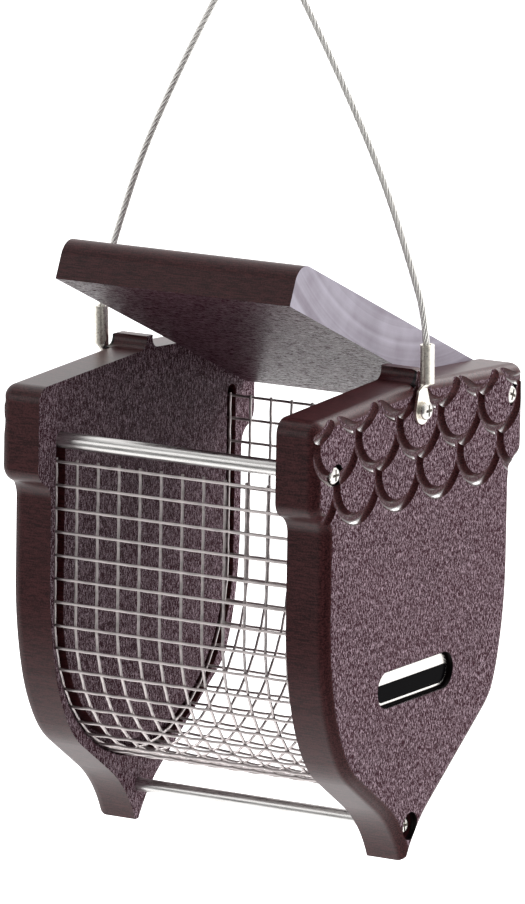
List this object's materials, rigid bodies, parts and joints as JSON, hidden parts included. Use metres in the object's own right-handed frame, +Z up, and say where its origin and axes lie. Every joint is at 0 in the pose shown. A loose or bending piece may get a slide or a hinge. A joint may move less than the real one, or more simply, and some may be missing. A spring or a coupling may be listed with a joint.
{
  "type": "peanut feeder",
  "caption": "Hanging bird feeder for peanuts: acorn-shaped end boards hold a U of welded wire mesh, under a hinged board lid, on a wire rope loop.",
  "frame": {"origin": "inside of the wire rope's top bend, where a hook carries the feeder", "axes": "+X along the tie rods towards the end board with the badge, +Y to the lid's hinge at the back, +Z up"},
  "size_m": [0.136, 0.1444, 0.3123],
  "materials": {
    "board": "dark brown recycled plastic board, flat faces satin with fine flecks, routed edges smoother",
    "badge": "thin satin plate, blank",
    "rod": "bright drawn rod",
    "mesh": "bright welded wire",
    "screw": "bright pan heads",
    "lug": "bright tinned crimp",
    "rope": "stranded wire rope"
  },
  "bodies": {
    "hanger": {"hanger_rope": "rope", "lug_right": "lug", "lug_left": "lug"},
    "feeder": {"end_panel_right": "board", "end_panel_left": "board", "badge_plate": "badge", "front_rod": "rod", "front_rod_screw_right": "screw", "front_rod_screw_left": "screw", "bottom_rod": "rod", "bottom_rod_screw_right": "screw", "bottom_rod_screw_left": "screw", "mesh_long_wires": "mesh", "mesh_cross_wires": "mesh", "lug_screw_right": "screw", "lug_screw_left": "screw"},
    "lid": {"lid_board": "board", "lid_hinge_screw_right": "screw", "lid_hinge_screw_left": "screw"}
  },
  "joints": [
    {"name": "body_swing", "type": "hinge", "parent": "hanger", "child": "feeder", "pos_m": [0, 0, -0.1517], "axis": [1, 0, 0], "range_deg": [-10, 15]},
    {"name": "lid_hinge", "type": "hinge", "parent": "feeder", "child": "lid", "pos_m": [0, 0.06537, -0.15901], "axis": [-1, 0, 0], "range_deg": [-23.2, 14.8]}
  ]
}
